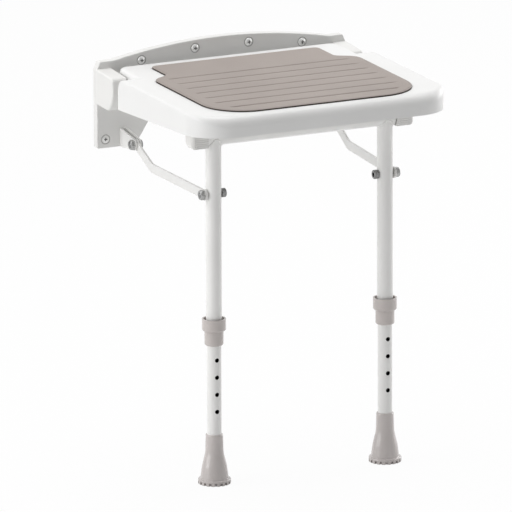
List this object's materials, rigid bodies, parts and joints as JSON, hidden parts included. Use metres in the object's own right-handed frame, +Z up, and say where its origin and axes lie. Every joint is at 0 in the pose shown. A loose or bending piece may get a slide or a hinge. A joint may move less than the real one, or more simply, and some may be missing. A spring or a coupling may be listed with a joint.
{
  "type": "fold down wall seat",
  "caption": "Fold-up seat hinged on a pressed wall plate, with a soft mat, two height-adjustable legs and linked side struts.",
  "frame": {"origin": "on the wall plane, midway along the wall plate and level with the seat's hinge axis", "axes": "+X along the wall to the right of a person facing it, +Y into the wall, +Z up"},
  "size_m": [0.396, 0.381, 0.5785],
  "materials": {
    "white_paint": "satin powder coat",
    "white_shell": "smooth moulded",
    "white_block": "smooth moulded",
    "mat_foam": "soft closed-cell foam with a fine grain",
    "taupe_plastic": "fine moulded texture",
    "taupe_rubber": "matt",
    "zinc": "bright zinc plating",
    "spring_steel": "bright",
    "bush_plastic": "plain"
  },
  "bodies": {
    "wall_mount": {"wall_plate": "white_paint", "wall_screws": "zinc", "lug_screws": "zinc", "clevis_bolts": "zinc", "clevis_nuts": "zinc", "clevis_washers": "bush_plastic", "hinge_lug_left": "white_block", "hinge_lug_right": "white_block", "hinge_pin_left": "zinc", "hinge_pin_right": "zinc", "clevis_left": "white_paint", "clevis_right": "white_paint"},
    "seat": {"seat_shell": "white_shell", "seat_mat": "mat_foam", "block_screws": "zinc", "hinge_bush_left": "bush_plastic", "hinge_bush_right": "bush_plastic", "bearing_block_left": "white_block", "bearing_block_right": "white_block"},
    "leg_frame": {"crossbar": "white_paint", "leg_bolts": "zinc", "leg_nuts": "zinc", "leg_washers": "bush_plastic", "journal_left": "bush_plastic", "journal_right": "bush_plastic", "upper_leg_left": "white_paint", "upper_leg_right": "white_paint", "leg_collar_left": "taupe_plastic", "leg_collar_right": "taupe_plastic"},
    "strut_right": {"strut_right": "white_paint"},
    "strut_left": {"strut_left": "white_paint"},
    "lower_leg_right": {"lower_leg_right": "white_paint", "foot_right": "taupe_rubber", "foot_disc_right": "zinc", "lock_spring_right": "spring_steel"},
    "lower_leg_left": {"lower_leg_left": "white_paint", "foot_left": "taupe_rubber", "foot_disc_left": "zinc", "lock_spring_left": "spring_steel"}
  },
  "joints": [
    {"name": "seat_fold", "type": "hinge", "parent": "wall_mount", "child": "seat", "pos_m": [0, -0.058, 0], "axis": [-1, 0, 0], "range_deg": [0, 90]},
    {"name": "leg_fold", "type": "hinge", "parent": "seat", "child": "leg_frame", "pos_m": [0, -0.268, -0.026], "axis": [-1, 0, 0], "range_deg": [-90, 0]},
    {"name": "strut_swing_right", "type": "hinge", "parent": "wall_mount", "child": "strut_right", "pos_m": [0.155, -0.058, -0.081], "axis": [-1, 0, 0], "range_deg": [0, 90]},
    {"name": "strut_swing_left", "type": "hinge", "parent": "wall_mount", "child": "strut_left", "pos_m": [-0.155, -0.058, -0.081], "axis": [-1, 0, 0], "range_deg": [0, 90]},
    {"name": "leg_slide_right", "type": "slide", "parent": "leg_frame", "child": "lower_leg_right", "axis": [0, 0, 1], "range_m": [0, 0.125], "deforming": ["lock_spring_right"]},
    {"name": "leg_slide_left", "type": "slide", "parent": "leg_frame", "child": "lower_leg_left", "axis": [0, 0, 1], "range_m": [0, 0.125], "deforming": ["lock_spring_left"]}
  ],
  "couplings": [
    {"joint": "leg_fold", "follows": "seat_fold", "ratio": -1},
    {"joint": "strut_swing_right", "follows": "seat_fold", "ratio": 1},
    {"joint": "strut_swing_left", "follows": "seat_fold", "ratio": 1}
  ]
}
